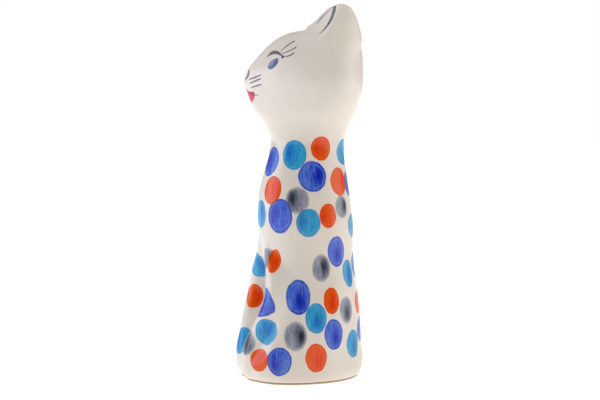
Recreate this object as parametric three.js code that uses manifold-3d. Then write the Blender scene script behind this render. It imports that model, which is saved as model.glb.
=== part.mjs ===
// A seated cat figurine in slip-cast stoneware, hollow, with a floor that has a vent hole.
// Millimetres. The cat looks towards -Y, its left flank is +X, and it stands on Z = 0.

import * as THREE from "three";
import { mergeVertices } from "three/addons/utils/BufferGeometryUtils.js";
import Module from "manifold-3d";

const wasm = await Module();
wasm.setup();

// Driving dimensions.
const WALL = 4.5; // thickness of the cast wall
const JOINT = 0.3; // slip joint between two castings
const NECK_Z = 115; // where the head is joined to the torso
const FOOT_HEIGHT = 1.2; // bare standing rim under the glazed castings
const FLOOR_Z = 3; // the floor's underside, above the table
const FLOOR_THICKNESS = 4;
const VENT_RADIUS = 6;

const CORE_SIDES = 48;
const CORE_LEVELS = 40;
const CAVITY_SIDES = 28;
const CAVITY_LEVELS = 20;
const LIMB_SIDES = 20;
const BELOW = 5; // how far a cutting form runs past the part

const HAUNCH_X = 20.5; // how far out from the middle each haunch is fullest
const HAUNCH_SPREAD = 3.6;
const MUZZLE_PINCH = 0.5; // how much faster the muzzle narrows towards its tip

// The head looks a little to the cat's right, and the neck carries the turn.
const HEAD_TURN = THREE.MathUtils.degToRad(-14);
const TURN_FROM_Z = 106;
const TURN_TO_Z = 132;
const TURN_AXIS_Y = 3.5;

// The body from the foot to the crown, one row for each section that the eye would draw:
// front y and z, back y and z, half width, squareness of the front, slimness of the muzzle
// against the back of the head, and how far the haunch stands forward.
const BODY = [
  [-27.2, 0, 27.9, 0, 24.4, 2.3, 0, 0],
  [-29.6, 3, 30.0, 3, 25.8, 2.3, 0, 0],
  [-30.2, 8, 31, 8, 26.2, 2.4, 0, 0.2],
  [-26.8, 16, 30.0, 16, 26.0, 2.6, 0, 1.2],
  [-21.6, 25, 29.4, 25, 25.4, 2.8, 0, 2.4],
  [-17.0, 35, 28.6, 35, 24.4, 3.0, 0, 3.0],
  [-15.0, 42, 27.8, 42, 23.4, 3.0, 0, 2.8],
  [-15.2, 48, 27.0, 48, 22.4, 2.8, 0, 2.0],
  [-17.4, 56, 26.2, 56, 21.4, 2.5, 0, 0.8],
  [-19.2, 65, 25.8, 65, 21.0, 2.2, 0, 0],
  [-20.6, 75, 25.9, 75, 20.8, 2.1, 0, 0],
  [-20.3, 87, 24.4, 87, 19.9, 2.1, 0, 0],
  [-17.7, 99, 22.7, 99, 18.0, 2.1, 0, 0],
  [-14.8, 109, 21.4, 109, 16.8, 2.1, 0, 0],
  [-13.8, 115, 21.5, 115, 16.6, 2.1, 0.02, 0],
  [-16.6, 122, 23.8, 122, 18.2, 2.1, 0.12, 0],
  [-22.6, 130, 27.2, 130, 20.7, 2.1, 0.26, 0],
  [-25.6, 137.5, 29.6, 138, 22.2, 2.1, 0.34, 0],
  [-26.6, 143.5, 30.3, 145.5, 22.6, 2.1, 0.36, 0],
  [-24.7, 149.5, 30.4, 152, 22.6, 2.1, 0.28, 0],
  [-20.4, 155, 29.9, 158, 21.9, 2.1, 0.18, 0],
  [-15.6, 160.2, 28.2, 162.4, 19.8, 2.1, 0.08, 0],
  [-11.2, 163.8, 24.8, 165.2, 16.4, 2.1, 0, 0],
  [-5.6, 166.2, 19.6, 166.8, 10.6, 2.1, 0, 0],
  [4.0, 167.2, 9.0, 167.4, 1.8, 2.1, 0, 0],
];

// The left ear from inside the skull to the tip: z, inner and outer x, front and back y.
const EAR = [
  [150, 9, 18, 11, 23],
  [156, 6.6, 20.4, 4, 27.0],
  [161, 5, 21.8, -1, 28.2],
  [166, 4.6, 22, -2, 27.4],
  [170, 6, 21.4, 2.2, 26.4],
  [174, 8.6, 20.2, 7.8, 25.2],
  [177.2, 11.4, 18.8, 12.8, 23.4],
  [179.2, 13.6, 17.6, 16, 21.4],
  [180, 14.8, 16.4, 17.8, 19.8],
];
// The ear's open face looks forward, outward and up, through these three corners.
const EAR_INNER_CORNER = new THREE.Vector3(6, 0.8, 168);
const EAR_OUTER_CORNER = new THREE.Vector3(20.6, 9.6, 165.5);
const EAR_TIP = new THREE.Vector3(15.0, 17.4, 179.6);

// The left foreleg from the paw to where it runs out in the chest: z, middle x, half width,
// front and back y. It bows out round an oval hollow and comes back in at the paw.
const FORELEG = [
  [-4, 5.6, 5.2, -28.6, -16],
  [0, 5.7, 5.4, -30.0, -16],
  [3, 5.8, 5.6, -30.0, -16],
  [8, 5.8, 5.6, -30.9, -16],
  [14, 5.8, 5.4, -30.7, -15],
  [20, 6.4, 5.2, -29.2, -14],
  [25, 8.4, 5.0, -27.4, -12],
  [31, 11.6, 4.8, -25.4, -9],
  [38, 13.8, 4.7, -23.0, -7],
  [45, 13.8, 4.6, -21.6, -6],
  [52, 11.6, 4.6, -20.8, -6],
  [57, 8.6, 4.6, -20.2, -6],
  [62, 5.4, 4.4, -19.4, -6],
  [67, 3.4, 3.6, -18.4, -6],
];

// Smooth curve through the columns of a table, read at any place along it.
function fair(rows, places) {
  const width = rows[0].length;
  const curve = new THREE.CubicInterpolant(places, rows.flat(), width, new Array(width));
  return (place) => Array.from(curve.evaluate(place));
}

// Running distance along a table's own profile, which spaces the rows evenly for the eye.
function runningLength(rows, pointOf) {
  let sum = 0;
  return rows.map((row, i) => {
    if (i > 0) sum += Math.hypot(...pointOf(row).map((v, k) => v - pointOf(rows[i - 1])[k]));
    return sum;
  });
}

const bodyPlaces = runningLength(BODY, (row) => [row[0], row[1]]);
const bodyLength = bodyPlaces.at(-1);
const bodySection = fair(BODY, bodyPlaces);

// Cosine and sine bent towards a square of the given power, which is 2 for an ellipse.
function squared(value, power) {
  return Math.sign(value) * Math.abs(value) ** (2 / power);
}

// The body's surface at a share of its length and an angle from the front, moved in by inset.
function bodyPoint(share, radius, angle, inset) {
  const place = share * bodyLength;
  const [frontY, frontZ, backY, backZ, halfWidth, square, slim, haunch] = bodySection(place);
  const step = 0.5;
  const before = bodySection(Math.max(0, place - step));
  const after = bodySection(Math.min(bodyLength, place + step));
  const inward = (y, z, side) => {
    const length = Math.hypot(after[y] - before[y], after[z] - before[z]);
    return [(side * (after[z] - before[z])) / length, (-side * (after[y] - before[y])) / length];
  };
  const frontIn = inward(0, 1, 1);
  const backIn = inward(2, 3, -1);
  const front = [frontY + inset * frontIn[0], frontZ + inset * frontIn[1]];
  const back = [backY + inset * backIn[0], backZ + inset * backIn[1]];
  const wide = halfWidth - inset * Math.abs(frontIn[0]);

  const forward = Math.cos(angle);
  const power = forward > 0 ? square : 2.2;
  const c = squared(forward, power);
  const s = squared(Math.sin(angle), power);
  const x = wide * s * (1 - slim * c * (1 + MUZZLE_PINCH * Math.max(c, 0)));
  const bump = haunch * Math.exp(-(((Math.abs(x) - HAUNCH_X) / HAUNCH_SPREAD) ** 2));
  const stand = bump * THREE.MathUtils.smoothstep(forward, 0, 0.5);
  const y = (front[0] + back[0]) / 2 + (c * (front[0] - back[0])) / 2 - stand;
  const z = (front[1] + back[1]) / 2 + (c * (front[1] - back[1])) / 2;
  const middleY = (front[0] + back[0]) / 2;
  return turned([radius * x, middleY + radius * (y - middleY), z]);
}

// A point of an upright, straight-looking cat, carried round with the head's turn.
function turned([x, y, z]) {
  const turn = HEAD_TURN * THREE.MathUtils.smoothstep(z, TURN_FROM_Z, TURN_TO_Z);
  const fromAxis = y - TURN_AXIS_Y;
  return [
    x * Math.cos(turn) - fromAxis * Math.sin(turn),
    TURN_AXIS_Y + x * Math.sin(turn) + fromAxis * Math.cos(turn),
    z,
  ];
}

// An oval section of a limb: a point at a share of its length and an angle from the front.
function limbPoint(section, first, last, share, radius, angle) {
  const [z, left, right, front, back] = section(first + share * (last - first));
  return [
    (left + right) / 2 + (radius * Math.sin(angle) * (right - left)) / 2,
    (front + back) / 2 + (radius * Math.cos(angle) * (front - back)) / 2,
    z,
  ];
}

// A closed form: a cylinder whose every vertex is carried to pointOf(share of height, radius, angle).
function form(sides, levels, pointOf) {
  const geometry = new THREE.CylinderGeometry(1, 1, 1, sides, levels);
  const position = geometry.getAttribute("position");
  for (let i = 0; i < position.count; i++) {
    const x = position.getX(i);
    const z = position.getZ(i);
    const share = position.getY(i) + 0.5;
    position.setXYZ(i, ...pointOf(share, Math.min(1, Math.hypot(x, z)), Math.atan2(x, z)));
  }
  return solid(geometry);
}

function solid(geometry) {
  geometry.deleteAttribute("normal");
  geometry.deleteAttribute("uv");
  const merged = mergeVertices(geometry, 1e-3);
  return new wasm.Manifold(
    new wasm.Mesh({
      numProp: 3,
      vertProperties: merged.getAttribute("position").array,
      triVerts: new Uint32Array(merged.index.array),
    }),
  );
}

function bodyForm(inset, sides, levels) {
  return form(sides, levels, (share, radius, angle) => bodyPoint(share, radius, angle, inset));
}

// The hollow inside the castings, which runs out through the foot.
function cavityForm(inset) {
  return form(CAVITY_SIDES, CAVITY_LEVELS, (share, radius, angle) => {
    const [x, y, z] = bodyPoint(share, radius, angle, inset);
    return [x, y, share === 0 ? -BELOW : z];
  });
}

function limbForm(rows, levels, endsOf) {
  const places = runningLength(rows, (row) => [row[0], row[3]]);
  const ends = rows.map((row) => [row[0], ...endsOf(row), row[3], row[4]]);
  const section = fair(ends, places);
  return form(LIMB_SIDES, levels, (share, radius, angle) =>
    limbPoint(section, places[0], places.at(-1), share, radius, angle),
  );
}

function upTo(shape, z) {
  return shape.trimByPlane([0, 0, -1], -z);
}

function above(shape, z) {
  return shape.trimByPlane([0, 0, 1], z);
}

function standing(radius, low, high) {
  const geometry = new THREE.CylinderGeometry(radius, radius, high - low, 40);
  geometry.rotateX(Math.PI / 2);
  geometry.translate(0, 0, (low + high) / 2);
  return solid(geometry);
}

function earForm() {
  const whole = limbForm(EAR, 14, (row) => [row[1], row[2]]);
  const across = EAR_OUTER_CORNER.clone().sub(EAR_INNER_CORNER);
  const up = EAR_TIP.clone().sub(EAR_INNER_CORNER);
  const facing = across.cross(up).normalize();
  const kept = facing.clone().negate();
  return whole.trimByPlane(kept.toArray(), kept.dot(EAR_TIP));
}

function forelegForm() {
  return limbForm(FORELEG, 18, (row) => [row[1] - row[2], row[1] + row[2]]);
}

const body = bodyForm(0, CORE_SIDES, CORE_LEVELS);
const bodyWithJoint = bodyForm(-JOINT, CORE_SIDES, CORE_LEVELS);
const cavity = cavityForm(WALL);
const castFrom = FOOT_HEIGHT + JOINT;

function torsoShell() {
  return above(upTo(body, NECK_Z), castFrom).subtract(cavity);
}

function headShell() {
  return above(body, NECK_Z + JOINT).subtract(cavity);
}

function onTurnedHead(shape) {
  const axis = [0, TURN_AXIS_Y, 0];
  return shape
    .translate(axis.map((v) => -v))
    .rotate([0, 0, THREE.MathUtils.radToDeg(HEAD_TURN)])
    .translate(axis);
}

function leftEar() {
  return onTurnedHead(earForm()).subtract(bodyWithJoint);
}

function rightEar() {
  return onTurnedHead(earForm().mirror([1, 0, 0])).subtract(bodyWithJoint);
}

function leftForeleg() {
  const leg = above(forelegForm(), castFrom);
  return leg.subtract(bodyWithJoint).trimByPlane([1, 0, 0], JOINT / 2);
}

function footRing() {
  const leg = forelegForm();
  const outline = body.add(leg).add(leg.mirror([1, 0, 0]));
  return upTo(above(outline, 0), FOOT_HEIGHT).subtract(cavity);
}

function baseFloor() {
  const slab = upTo(above(cavityForm(WALL + JOINT), FLOOR_Z), FLOOR_Z + FLOOR_THICKNESS);
  return slab.subtract(standing(VENT_RADIUS, -BELOW, FLOOR_Z + FLOOR_THICKNESS + BELOW));
}

const glazed = new THREE.MeshStandardMaterial({ color: "#e6dfd4", roughness: 0.25 });
const bare = new THREE.MeshStandardMaterial({ color: "#b98d6b", roughness: 0.85 });

function meshOf(name, shape, material) {
  const { vertProperties, triVerts } = shape.getMesh();
  const geometry = new THREE.BufferGeometry();
  geometry.setAttribute("position", new THREE.BufferAttribute(vertProperties, 3));
  geometry.setIndex(new THREE.BufferAttribute(triVerts, 1));
  geometry.computeVertexNormals();
  const mesh = new THREE.Mesh(geometry, material);
  mesh.name = name;
  return mesh;
}

const figurine = new THREE.Group();
const foreleg = leftForeleg();
figurine.add(
  meshOf("torso_shell", torsoShell(), glazed),
  meshOf("head_shell", headShell(), glazed),
  meshOf("left_ear", leftEar(), glazed),
  meshOf("right_ear", rightEar(), glazed),
  meshOf("left_foreleg", foreleg, glazed),
  meshOf("right_foreleg", foreleg.mirror([1, 0, 0]), glazed),
  meshOf("base_floor", baseFloor(), bare),
  meshOf("foot_ring", footRing(), bare),
);

export default figurine;
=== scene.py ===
# %% [markdown]
# # A stoneware cat with stamped spots
#
# The real figurine is slip-cast. Liquid clay is poured into a plaster mould and leaves a wall a few
# millimetres thick. The torso, head, ears and forelegs are joined with slip while they are damp, and
# a wet sponge rubs the joins away. The cat is then stamped, painted, dipped in clear glaze and
# fired. So the eye sees one unbroken skin, and only the wiped foot shows bare clay.
#
# The engineering model gives the size and place of every casting. It is loaded first and never
# moved. Its box is kept, because the finished cat has to fit in it.

import math

import bmesh
import bpy
import numpy as np
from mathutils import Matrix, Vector


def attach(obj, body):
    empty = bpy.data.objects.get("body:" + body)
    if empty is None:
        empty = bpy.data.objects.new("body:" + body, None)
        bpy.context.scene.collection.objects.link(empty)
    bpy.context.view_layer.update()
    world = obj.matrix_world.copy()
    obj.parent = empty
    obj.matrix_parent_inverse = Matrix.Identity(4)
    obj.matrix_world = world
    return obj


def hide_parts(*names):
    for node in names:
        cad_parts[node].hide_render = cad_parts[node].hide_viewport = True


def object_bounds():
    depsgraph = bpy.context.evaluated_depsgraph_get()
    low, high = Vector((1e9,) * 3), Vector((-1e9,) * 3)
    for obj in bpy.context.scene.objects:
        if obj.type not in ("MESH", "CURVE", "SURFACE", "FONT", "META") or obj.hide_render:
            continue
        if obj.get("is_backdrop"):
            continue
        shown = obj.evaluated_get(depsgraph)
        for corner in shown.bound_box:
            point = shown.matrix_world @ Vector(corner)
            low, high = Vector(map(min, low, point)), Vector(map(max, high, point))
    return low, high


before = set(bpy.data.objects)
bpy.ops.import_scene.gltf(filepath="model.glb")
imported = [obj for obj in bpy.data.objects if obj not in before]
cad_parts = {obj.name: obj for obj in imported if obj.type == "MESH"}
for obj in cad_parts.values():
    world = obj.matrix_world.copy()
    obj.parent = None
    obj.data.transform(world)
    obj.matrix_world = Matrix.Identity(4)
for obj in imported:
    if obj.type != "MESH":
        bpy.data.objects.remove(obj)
cad_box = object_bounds()
MM = 0.001
print("castings:", sorted(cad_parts))

# %% [markdown]
# ## The shape, as a modeller would draw it
#
# A potter's modeller draws a tall form as sections. Each row here is one section from the foot to
# the crown, in millimetres: where the front and the back are, how wide it is, how square the front
# of the section is, how much slimmer the muzzle is than the back of the head, and how far the
# haunches stand forward. A smooth curve through the rows gives everything between them, so a few
# rows are enough. A subdivision cage would round its corners away from the sections, and this way
# the surface passes through every one.

# %% Sections of the body
FRONT_Y, FRONT_Z, BACK_Y, BACK_Z, HALF_WIDTH, SQUARE, SLIM, HAUNCH = range(8)
BODY = [
    (-27.2, 0, 27.9, 0, 24.4, 2.3, 0, 0),
    (-29.6, 3, 30.0, 3, 25.8, 2.3, 0, 0),
    (-30.2, 8, 31, 8, 26.2, 2.4, 0, 0.2),
    (-26.8, 16, 30.0, 16, 26.0, 2.6, 0, 1.2),
    (-21.6, 25, 29.4, 25, 25.4, 2.8, 0, 2.4),
    (-17.0, 35, 28.6, 35, 24.4, 3.0, 0, 3.0),
    (-15.0, 42, 27.8, 42, 23.4, 3.0, 0, 2.8),
    (-15.2, 48, 27.0, 48, 22.4, 2.8, 0, 2.0),
    (-17.4, 56, 26.2, 56, 21.4, 2.5, 0, 0.8),
    (-19.2, 65, 25.8, 65, 21.0, 2.2, 0, 0),
    (-20.6, 75, 25.9, 75, 20.8, 2.1, 0, 0),
    (-20.3, 87, 24.4, 87, 19.9, 2.1, 0, 0),
    (-17.7, 99, 22.7, 99, 18.0, 2.1, 0, 0),
    (-14.8, 109, 21.4, 109, 16.8, 2.1, 0, 0),
    (-13.8, 115, 21.5, 115, 16.6, 2.1, 0.02, 0),
    (-16.6, 122, 23.8, 122, 18.2, 2.1, 0.12, 0),
    (-22.0, 130, 27.2, 130, 21.2, 2.1, 0.26, 0),
    (-25.1, 137.5, 29.6, 138, 22.9, 2.1, 0.34, 0),
    (-26.6, 143.5, 30.3, 145.5, 23.4, 2.1, 0.36, 0),
    (-24.7, 149.5, 30.4, 152, 23.2, 2.1, 0.28, 0),
    (-20.4, 155, 29.9, 158, 22.2, 2.1, 0.18, 0),
    (-15.6, 160.2, 28.2, 162.4, 19.8, 2.1, 0.08, 0),
    (-11.2, 163.8, 24.8, 165.2, 16.4, 2.1, 0, 0),
    (-5.6, 166.5, 19.6, 166.8, 10.6, 2.1, 0, 0),
    (4.0, 168.2, 9.0, 168.2, 1.8, 2.1, 0, 0),
]
BACK_SQUARE = 2.2
HAUNCH_X, HAUNCH_SPREAD = 20.5, 3.6
MUZZLE_PINCH = 0.5  # how much faster the muzzle narrows towards its tip
NECK_Z = 115.15
FOOT_Z = 0.95

# The left foreleg from the paw to where it runs out in the chest: height, middle, half width, front.
FORELEG = [
    (0, 5.7, 5.4, -27.2),
    (3, 5.8, 5.6, -29.6),
    (8, 5.8, 5.6, -30.4),
    (14, 5.8, 5.4, -30.6),
    (20, 6.4, 5.2, -29.2),
    (25, 8.4, 5.0, -27.4),
    (31, 11.6, 4.8, -25.4),
    (38, 13.8, 4.7, -23.0),
    (45, 13.8, 4.6, -21.6),
    (52, 11.6, 4.6, -20.8),
    (57, 8.6, 4.6, -20.2),
    (62, 5.4, 4.4, -19.4),
    (67, 3.4, 3.6, -18.0),
]

# The head looks a little to the cat's right, and the neck carries the turn.
HEAD_TURN = math.radians(-14)
TURN_FROM_Z, TURN_TO_Z = 106, 132
TURN_AXIS_Y = 3.5

# %% Curves through the sections
def fair(rows, places, at):
    """A smooth curve through the columns of a table, read at the places given."""
    rows, places = np.array(rows, float), np.array(places, float)
    slopes = np.gradient(rows, places, axis=0)
    i = np.clip(np.searchsorted(places, at, side="right") - 1, 0, len(places) - 2)
    span = (places[i + 1] - places[i])[:, None]
    t = np.clip((at - places[i])[:, None] / span, 0, 1)
    low, high = 2 * t**3 - 3 * t**2 + 1, 3 * t**2 - 2 * t**3
    leave, arrive = t**3 - 2 * t**2 + t, t**3 - t**2
    curve = rows[i] * low + rows[i + 1] * high
    return (curve + span * (slopes[i] * leave + slopes[i + 1] * arrive)).T


def smoothstep(start, end, value):
    t = np.clip((value - start) / (end - start), 0, 1)
    return t * t * (3 - 2 * t)


def smooth_max(a, b, blend):
    """The larger of two heights, with a fillet about as wide as blend where they cross."""
    share = np.clip(0.5 + 0.5 * (a - b) / blend, 0, 1)
    return b + (a - b) * share + blend * share * (1 - share)


def smooth_min(a, b, blend):
    """The smaller of two heights, with the same fillet."""
    return -smooth_max(-a, -b, blend)


profile = np.array(BODY)[:, [FRONT_Y, FRONT_Z]]
steps = np.hypot(*np.diff(profile, axis=0).T)
BODY_PLACES = np.concatenate([[0], np.cumsum(steps)])
print(f"the front profile is {BODY_PLACES[-1]:.0f} mm long")

# %% [markdown]
# ## One skin for the whole cat
#
# A casting's joins are rubbed smooth, so the skin is made in one piece and cut into castings
# afterwards, which keeps the light running unbroken over the joins. It starts as a globe from
# `create_uvsphere`: a vertex's latitude says how far up the cat it sits, and its longitude says
# which way it faces. Every vertex then moves to its section. Joining separate meshes with a
# boolean would leave hard creases, and a voxel remesh would leave steps in the gloss.

# %% Carry a globe to the body's sections
SIDES, LEVELS = 288, 256


def body_surface(share, angle):
    """The body without limbs: points in millimetres for a share of its length and an angle."""
    row = fair(BODY, BODY_PLACES, share * BODY_PLACES[-1])
    forward, side = np.cos(angle), np.sin(angle)
    power = np.where(forward > 0, row[SQUARE], BACK_SQUARE)
    c = np.sign(forward) * np.abs(forward) ** (2 / power)
    s = np.sign(side) * np.abs(side) ** (2 / power)
    pinch = row[SLIM] * c * (1 + MUZZLE_PINCH * np.maximum(c, 0))
    x = row[HALF_WIDTH] * s * (1 - pinch)
    haunch = row[HAUNCH] * np.exp(-(((np.abs(x) - HAUNCH_X) / HAUNCH_SPREAD) ** 2))
    middle_y, middle_z = (row[FRONT_Y] + row[BACK_Y]) / 2, (row[FRONT_Z] + row[BACK_Z]) / 2
    y = middle_y + c * (row[FRONT_Y] - row[BACK_Y]) / 2 - haunch * smoothstep(0, 0.5, forward)
    z = middle_z + c * (row[FRONT_Z] - row[BACK_Z]) / 2
    crown = share >= 1
    return np.stack([np.where(crown, 0, x), np.where(crown, middle_y, y), z], 1)


bm = bmesh.new()
bmesh.ops.create_uvsphere(bm, u_segments=SIDES, v_segments=LEVELS, radius=1)
skin = bpy.data.meshes.new("skin")
bm.to_mesh(skin)
bm.free()

globe = np.empty(len(skin.vertices) * 3)
skin.vertices.foreach_get("co", globe)
globe = globe.reshape(-1, 3)
share = np.clip(np.arcsin(np.clip(globe[:, 2], -1, 1)) / math.pi + 0.5, 0, 1)
share[share > 1 - 0.25 / LEVELS] = 1
angle = np.arctan2(globe[:, 0], -globe[:, 1])
clay = body_surface(share, angle)
print(f"{len(clay)} points, {clay[:, 2].max():.1f} mm to the crown")

# %% [markdown]
# ## Forelegs in relief
#
# The forelegs stand out of the front of the body, bow round an oval hollow, and come back together
# at the paws. Each is a rounded ridge. The body's front moves out to whichever is further forward,
# the body or the ridge, with a fillet between them: tight in the hollow, where the mould is crisp,
# and wide on the flank, where the leg melts into the haunch. At the paws all of it fades out.

# %% Raise the forelegs
LEG_SIDE_STEEPNESS, LEG_PIECE = 14, 1.1
FLANK_SLOPE, FLANK_FALL, FALL_FROM = 0.5, 2.0, 0.7
HOLLOW_FILLET, FLANK_FILLET = 1.6, 6.0
FLANK_FROM, FLANK_TO = -2, 4  # across the leg, where its inner side gives way to the flank
PAW_Z, SHIN_Z, RUN_OUT = 6, 20, 12  # the wide fillet starts above the paw, and the leg runs out

in_front = np.cos(angle) > 0
relief = {}
for name, side in (("left_foreleg", 1), ("right_foreleg", -1)):
    heights = [row[0] for row in FORELEG]
    middle, half, front = fair([row[1:] for row in FORELEG], heights, clay[:, 2])
    outward = side * clay[:, 0] - middle
    across = outward / half
    round_off = across**2 / (1 + np.sqrt(np.maximum(1 - across**2, 0.02)))
    cliff = round_off + LEG_SIDE_STEEPNESS * np.maximum(-across - 1, 0)
    slope = FLANK_SLOPE * across**2 + FLANK_FALL * np.maximum(across - FALL_FROM, 0) ** 2
    drop = half * np.where(across < 0, cliff, slope)
    drop += np.maximum(clay[:, 2] - heights[-1], 0)
    on_flank = smoothstep(FLANK_FROM, FLANK_TO, outward) * smoothstep(PAW_Z, SHIN_Z, clay[:, 2])
    fillet = HOLLOW_FILLET + (FLANK_FILLET - HOLLOW_FILLET) * on_flank
    raised = smooth_min(clay[:, 1], front + drop, fillet)
    raised = np.where(in_front & (clay[:, 2] < heights[-1] + RUN_OUT), raised, clay[:, 1])
    relief[name] = np.where(np.abs(across) < LEG_PIECE, clay[:, 1] - raised, 0)
    clay[:, 1] = raised
print({name: f"{height.max():.1f} mm proud" for name, height in relief.items()})

# %% [markdown]
# ## Ears pulled from the head
#
# An ear is a leaning cone with an oval section, sliced in front by a flat face that looks forward
# and outward. Ovals up its height and one slanted plane describe it. Seen from the middle of the
# head every direction meets the ear once, so the skin can move straight out until it meets the
# ear, and no new faces are needed. Walking in from outside finds that place to a fraction of a
# millimetre. A wide fillet then runs the ear into the skull, as a wet sponge does.

# %% Pull the ears
HEAD_HEART = np.array([0, 4, 148])
EAR = [  # height, inner x, outer x, front y, back y of the left ear's ovals
    (150, 9.0, 18.0, 11.0, 23.0),
    (156, 6.6, 20.4, 4.0, 27.0),
    (161, 5.0, 21.2, -1.0, 28.2),
    (166, 4.6, 21.4, -2.0, 28.2),
    (170, 5.6, 20.8, 2.4, 27.2),
    (174, 7.6, 19.8, 7.8, 25.8),
    (177.2, 9.8, 18.8, 12.0, 24.0),
    (179.2, 12.2, 17.6, 15.0, 22.0),
    (180.2, 14.2, 15.8, 17.6, 19.6),
]
EAR_FACE_CORNERS = (6, 0.9, 168), (20.6, 9.6, 165.5), (15, 16.6, 180.0)
EAR_EDGE, EAR_FILLET, EAR_DISH, DISH_SPREAD = 0.5, 6.5, 0.8, 40
EAR_FROM, EAR_FULL = math.radians(8), math.radians(30)
EARS_ABOVE_Z = 140
WALK_FROM, WALK_TO, WALK_STEPS = 46.0, 14.0, 161

inner, outer, tip = (np.array(corner) for corner in EAR_FACE_CORNERS)
face_way = np.cross(outer - inner, tip - inner)
face_way /= np.linalg.norm(face_way)
face_middle = (inner + outer + tip) / 3


def depth_in_ear(points):
    """How deep points are inside the left ear in millimetres, negative outside it."""
    oval = fair([row[1:] for row in EAR], [row[0] for row in EAR], points[:, 2])
    x_in, x_out, y_front, y_back = oval
    half_x = np.maximum((x_out - x_in) / 2, 0.3)
    half_y = np.maximum((y_back - y_front) / 2, 0.3)
    aside = (points[:, 0] - (x_in + x_out) / 2) / half_x
    along = (points[:, 1] - (y_front + y_back) / 2) / half_y
    in_oval = (1 - np.hypot(aside, along)) * np.minimum(half_x, half_y)
    from_middle = points - face_middle
    dish = EAR_DISH * np.exp(-(from_middle**2).sum(1) / DISH_SPREAD)
    behind_face = -(from_middle @ face_way) - dish
    below_top = EAR[-1][0] - points[:, 2]
    shallow = smooth_min(in_oval, behind_face, EAR_EDGE)
    return smooth_min(shallow, below_top, EAR_EDGE)


from_heart = clay - HEAD_HEART
reach = np.linalg.norm(from_heart, axis=1)
way = from_heart / reach[:, None]
lift = smoothstep(EAR_FROM, EAR_FULL, np.arcsin(np.clip(way[:, 2], -1, 1)))
walk = np.linspace(WALK_FROM, WALK_TO, WALK_STEPS)
for name, side in (("left_ear", 1), ("right_ear", -1)):
    near = (clay[:, 2] > EARS_ABOVE_Z) & (lift > 0) & (side * way[:, 0] > -0.1)
    toward = way[near] * [side, 1, 1]
    places = HEAD_HEART + toward[:, None, :] * walk[None, :, None]
    depths = depth_in_ear(places.reshape(-1, 3)).reshape(len(toward), -1)
    entry = np.argmax(depths > 0, axis=1)
    row = np.arange(len(toward))
    before = np.maximum(entry - 1, 0)
    outside, inside = depths[row, before], depths[row, entry]
    share_in = np.where(entry > 0, outside / np.minimum(outside - inside, -1e-6), 0)
    meets = walk[before] + (walk[entry] - walk[before]) * share_in
    meets = np.where(entry > 0, meets, 0)
    grown = smooth_max(meets, reach[near], EAR_FILLET) - reach[near]
    relief[name] = np.zeros(len(clay))
    relief[name][near] = grown * lift[near]
clay = clay + way * (relief["left_ear"] + relief["right_ear"])[:, None]
print({name: f"{relief[name].max():.1f} mm" for name in ("left_ear", "right_ear")})

# %% Turn the head and name the castings
turn = HEAD_TURN * smoothstep(TURN_FROM_Z, TURN_TO_Z, clay[:, 2])
from_axis = clay[:, 1] - TURN_AXIS_Y
clay = np.stack(
    [
        clay[:, 0] * np.cos(turn) - from_axis * np.sin(turn),
        TURN_AXIS_Y + clay[:, 0] * np.sin(turn) + from_axis * np.cos(turn),
        clay[:, 2],
    ],
    1,
)
skin.vertices.foreach_set("co", (clay * MM).ravel())

PIECES = ["torso", "head", "left_ear", "right_ear", "left_foreleg", "right_foreleg"]
EAR_SHOWS, LEG_SHOWS = 0.5, 0.35  # how far an ear or a leg stands out where its casting starts
piece_of_vertex = np.where(clay[:, 2] > NECK_Z, PIECES.index("head"), PIECES.index("torso"))
for name in PIECES[2:]:
    shows = EAR_SHOWS if name.endswith("ear") else LEG_SHOWS
    piece_of_vertex[relief[name] > shows] = PIECES.index(name)
for name, values in (("piece", piece_of_vertex), ("foot", clay[:, 2] < FOOT_Z)):
    layer = skin.attributes.new(name, "INT", "POINT")
    layer.data.foreach_set("value", np.ascontiguousarray(values, np.int32))
print("the head turns", round(math.degrees(HEAD_TURN)), "degrees")

# %% [markdown]
# ## Rub the joins
#
# A damp sponge goes round the foot of each ear and down the outside of each foreleg, and takes out
# the last ridge of slip. `smooth_vert` does the same: each pass moves a vertex half way to the
# middle of its neighbours. Only the skirts are rubbed, so the ears' edges and the hollow between
# the legs stay crisp. Then the foot is wiped off level, and the skin keeps a copy of its normals.

# %% Rub the joins and wipe the foot
EAR_RUB_Z, EAR_RUB_UP_TO, EAR_RUBS = 150, 3, 24
LEG_RUB_FROM_Z, LEG_RUB_TO_Z, LEG_RUB_UP_TO, LEG_RUB_OUTSIDE, LEG_RUBS = 14, 80, 1.2, 8, 12

bm = bmesh.new()
bm.from_mesh(skin)
bm.verts.ensure_lookup_table()
ear_height = relief["left_ear"] + relief["right_ear"]
leg_height = relief["left_foreleg"] + relief["right_foreleg"]
ear_skirt = (clay[:, 2] > EAR_RUB_Z) & (ear_height < EAR_RUB_UP_TO)
leg_skirt = in_front & (clay[:, 2] > LEG_RUB_FROM_Z) & (clay[:, 2] < LEG_RUB_TO_Z)
leg_skirt &= (leg_height < LEG_RUB_UP_TO) & (np.abs(clay[:, 0]) > LEG_RUB_OUTSIDE)
for rubbed, times in ((ear_skirt, EAR_RUBS), (leg_skirt, LEG_RUBS)):
    verts = [bm.verts[i] for i in np.flatnonzero(rubbed)]
    for _ in range(times):
        bmesh.ops.smooth_vert(
            bm, verts=verts, factor=0.5, use_axis_x=True, use_axis_y=True, use_axis_z=True
        )
foot_layer = bm.verts.layers.int["foot"]
bmesh.ops.delete(bm, geom=[v for v in bm.verts if v[foot_layer]], context="VERTS")
bmesh.ops.recalc_face_normals(bm, faces=bm.faces)
bm.to_mesh(skin)
bm.free()
skin.shade_smooth()
normals = np.empty(len(skin.vertices) * 3, np.float32)
skin.vertices.foreach_get("normal", normals)
skin.attributes.new("skin_normal", "FLOAT_VECTOR", "POINT").data.foreach_set("vector", normals)
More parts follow.
